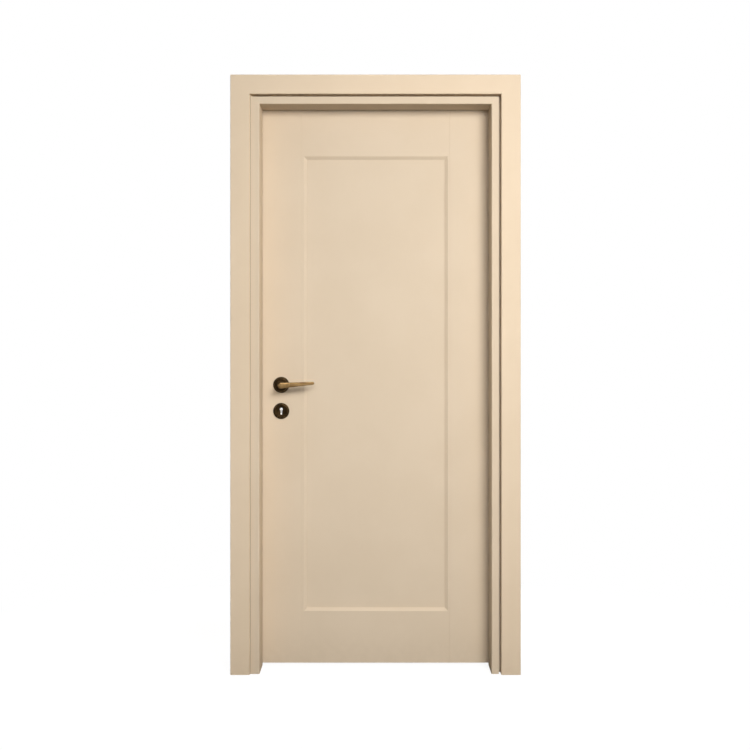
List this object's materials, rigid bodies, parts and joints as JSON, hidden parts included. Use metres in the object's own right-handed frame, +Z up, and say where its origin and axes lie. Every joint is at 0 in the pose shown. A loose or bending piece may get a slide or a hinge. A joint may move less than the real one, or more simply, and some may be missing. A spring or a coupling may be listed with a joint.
{
  "type": "interior door with frame and casings",
  "caption": "Painted interior door: panelled leaf in a rebated frame with grooved casings, lever handle and keyhole lock.",
  "frame": {"origin": "floor level on the back of the hinge jamb, midway through the wall", "axes": "+Z up, +X out of the hinge jamb's back into the wall, +Y from the front of the door to its rear, where the leaf opens"},
  "size_m": [1.014, 0.212, 2.096],
  "materials": {
    "cream_paint": "satin cream paint on wood",
    "dark_bronze": "dark patinated bronze",
    "antique_brass": "rubbed antique brass",
    "lock_brass": "brushed brass",
    "hinge_steel": "bronzed steel, brushed",
    "lock_steel": "brushed",
    "rubber_seal": "matt"
  },
  "bodies": {
    "frame": {"hinge_jamb": "cream_paint", "lock_jamb": "cream_paint", "head_jamb": "cream_paint", "front_casing_hinge_side": "cream_paint", "front_casing_lock_side": "cream_paint", "front_casing_head": "cream_paint", "rear_casing_hinge_side": "cream_paint", "rear_casing_lock_side": "cream_paint", "rear_casing_head": "cream_paint", "hinge_side_seal": "rubber_seal", "lock_side_seal": "rubber_seal", "head_seal": "rubber_seal", "strike_plate": "lock_steel", "top_hinge_frame_leaf": "hinge_steel", "middle_hinge_frame_leaf": "hinge_steel", "bottom_hinge_frame_leaf": "hinge_steel"},
    "door_leaf": {"hinge_stile": "cream_paint", "lock_stile": "cream_paint", "top_rail": "cream_paint", "bottom_rail": "cream_paint", "centre_panel": "cream_paint", "front_bead_hinge_side": "cream_paint", "front_bead_lock_side": "cream_paint", "front_bead_top": "cream_paint", "front_bead_bottom": "cream_paint", "rear_bead_hinge_side": "cream_paint", "rear_bead_lock_side": "cream_paint", "rear_bead_top": "cream_paint", "rear_bead_bottom": "cream_paint", "top_hinge_door_leaf": "hinge_steel", "middle_hinge_door_leaf": "hinge_steel", "bottom_hinge_door_leaf": "hinge_steel", "lock_case": "lock_steel", "lock_forend": "lock_brass", "latch_bolt": "lock_brass", "dead_bolt": "lock_brass", "front_rosette": "dark_bronze", "rear_rosette": "dark_bronze", "front_key_escutcheon": "dark_bronze", "rear_key_escutcheon": "dark_bronze"},
    "handle": {"front_lever": "antique_brass", "rear_lever": "antique_brass", "spindle": "lock_steel"}
  },
  "joints": [
    {"name": "door_swing", "type": "hinge", "parent": "frame", "child": "door_leaf", "pos_m": [-0.0315, 0.0765, 0], "axis": [0, 0, -1], "range_deg": [0, 170]},
    {"name": "lever_turn", "type": "hinge", "parent": "door_leaf", "child": "handle", "pos_m": [-0.789, 0.05, 1.007], "axis": [0, 1, 0], "range_deg": [0, 40], "stiffness_Nm_per_rad": 0.6, "springref_deg": -20.05}
  ]
}
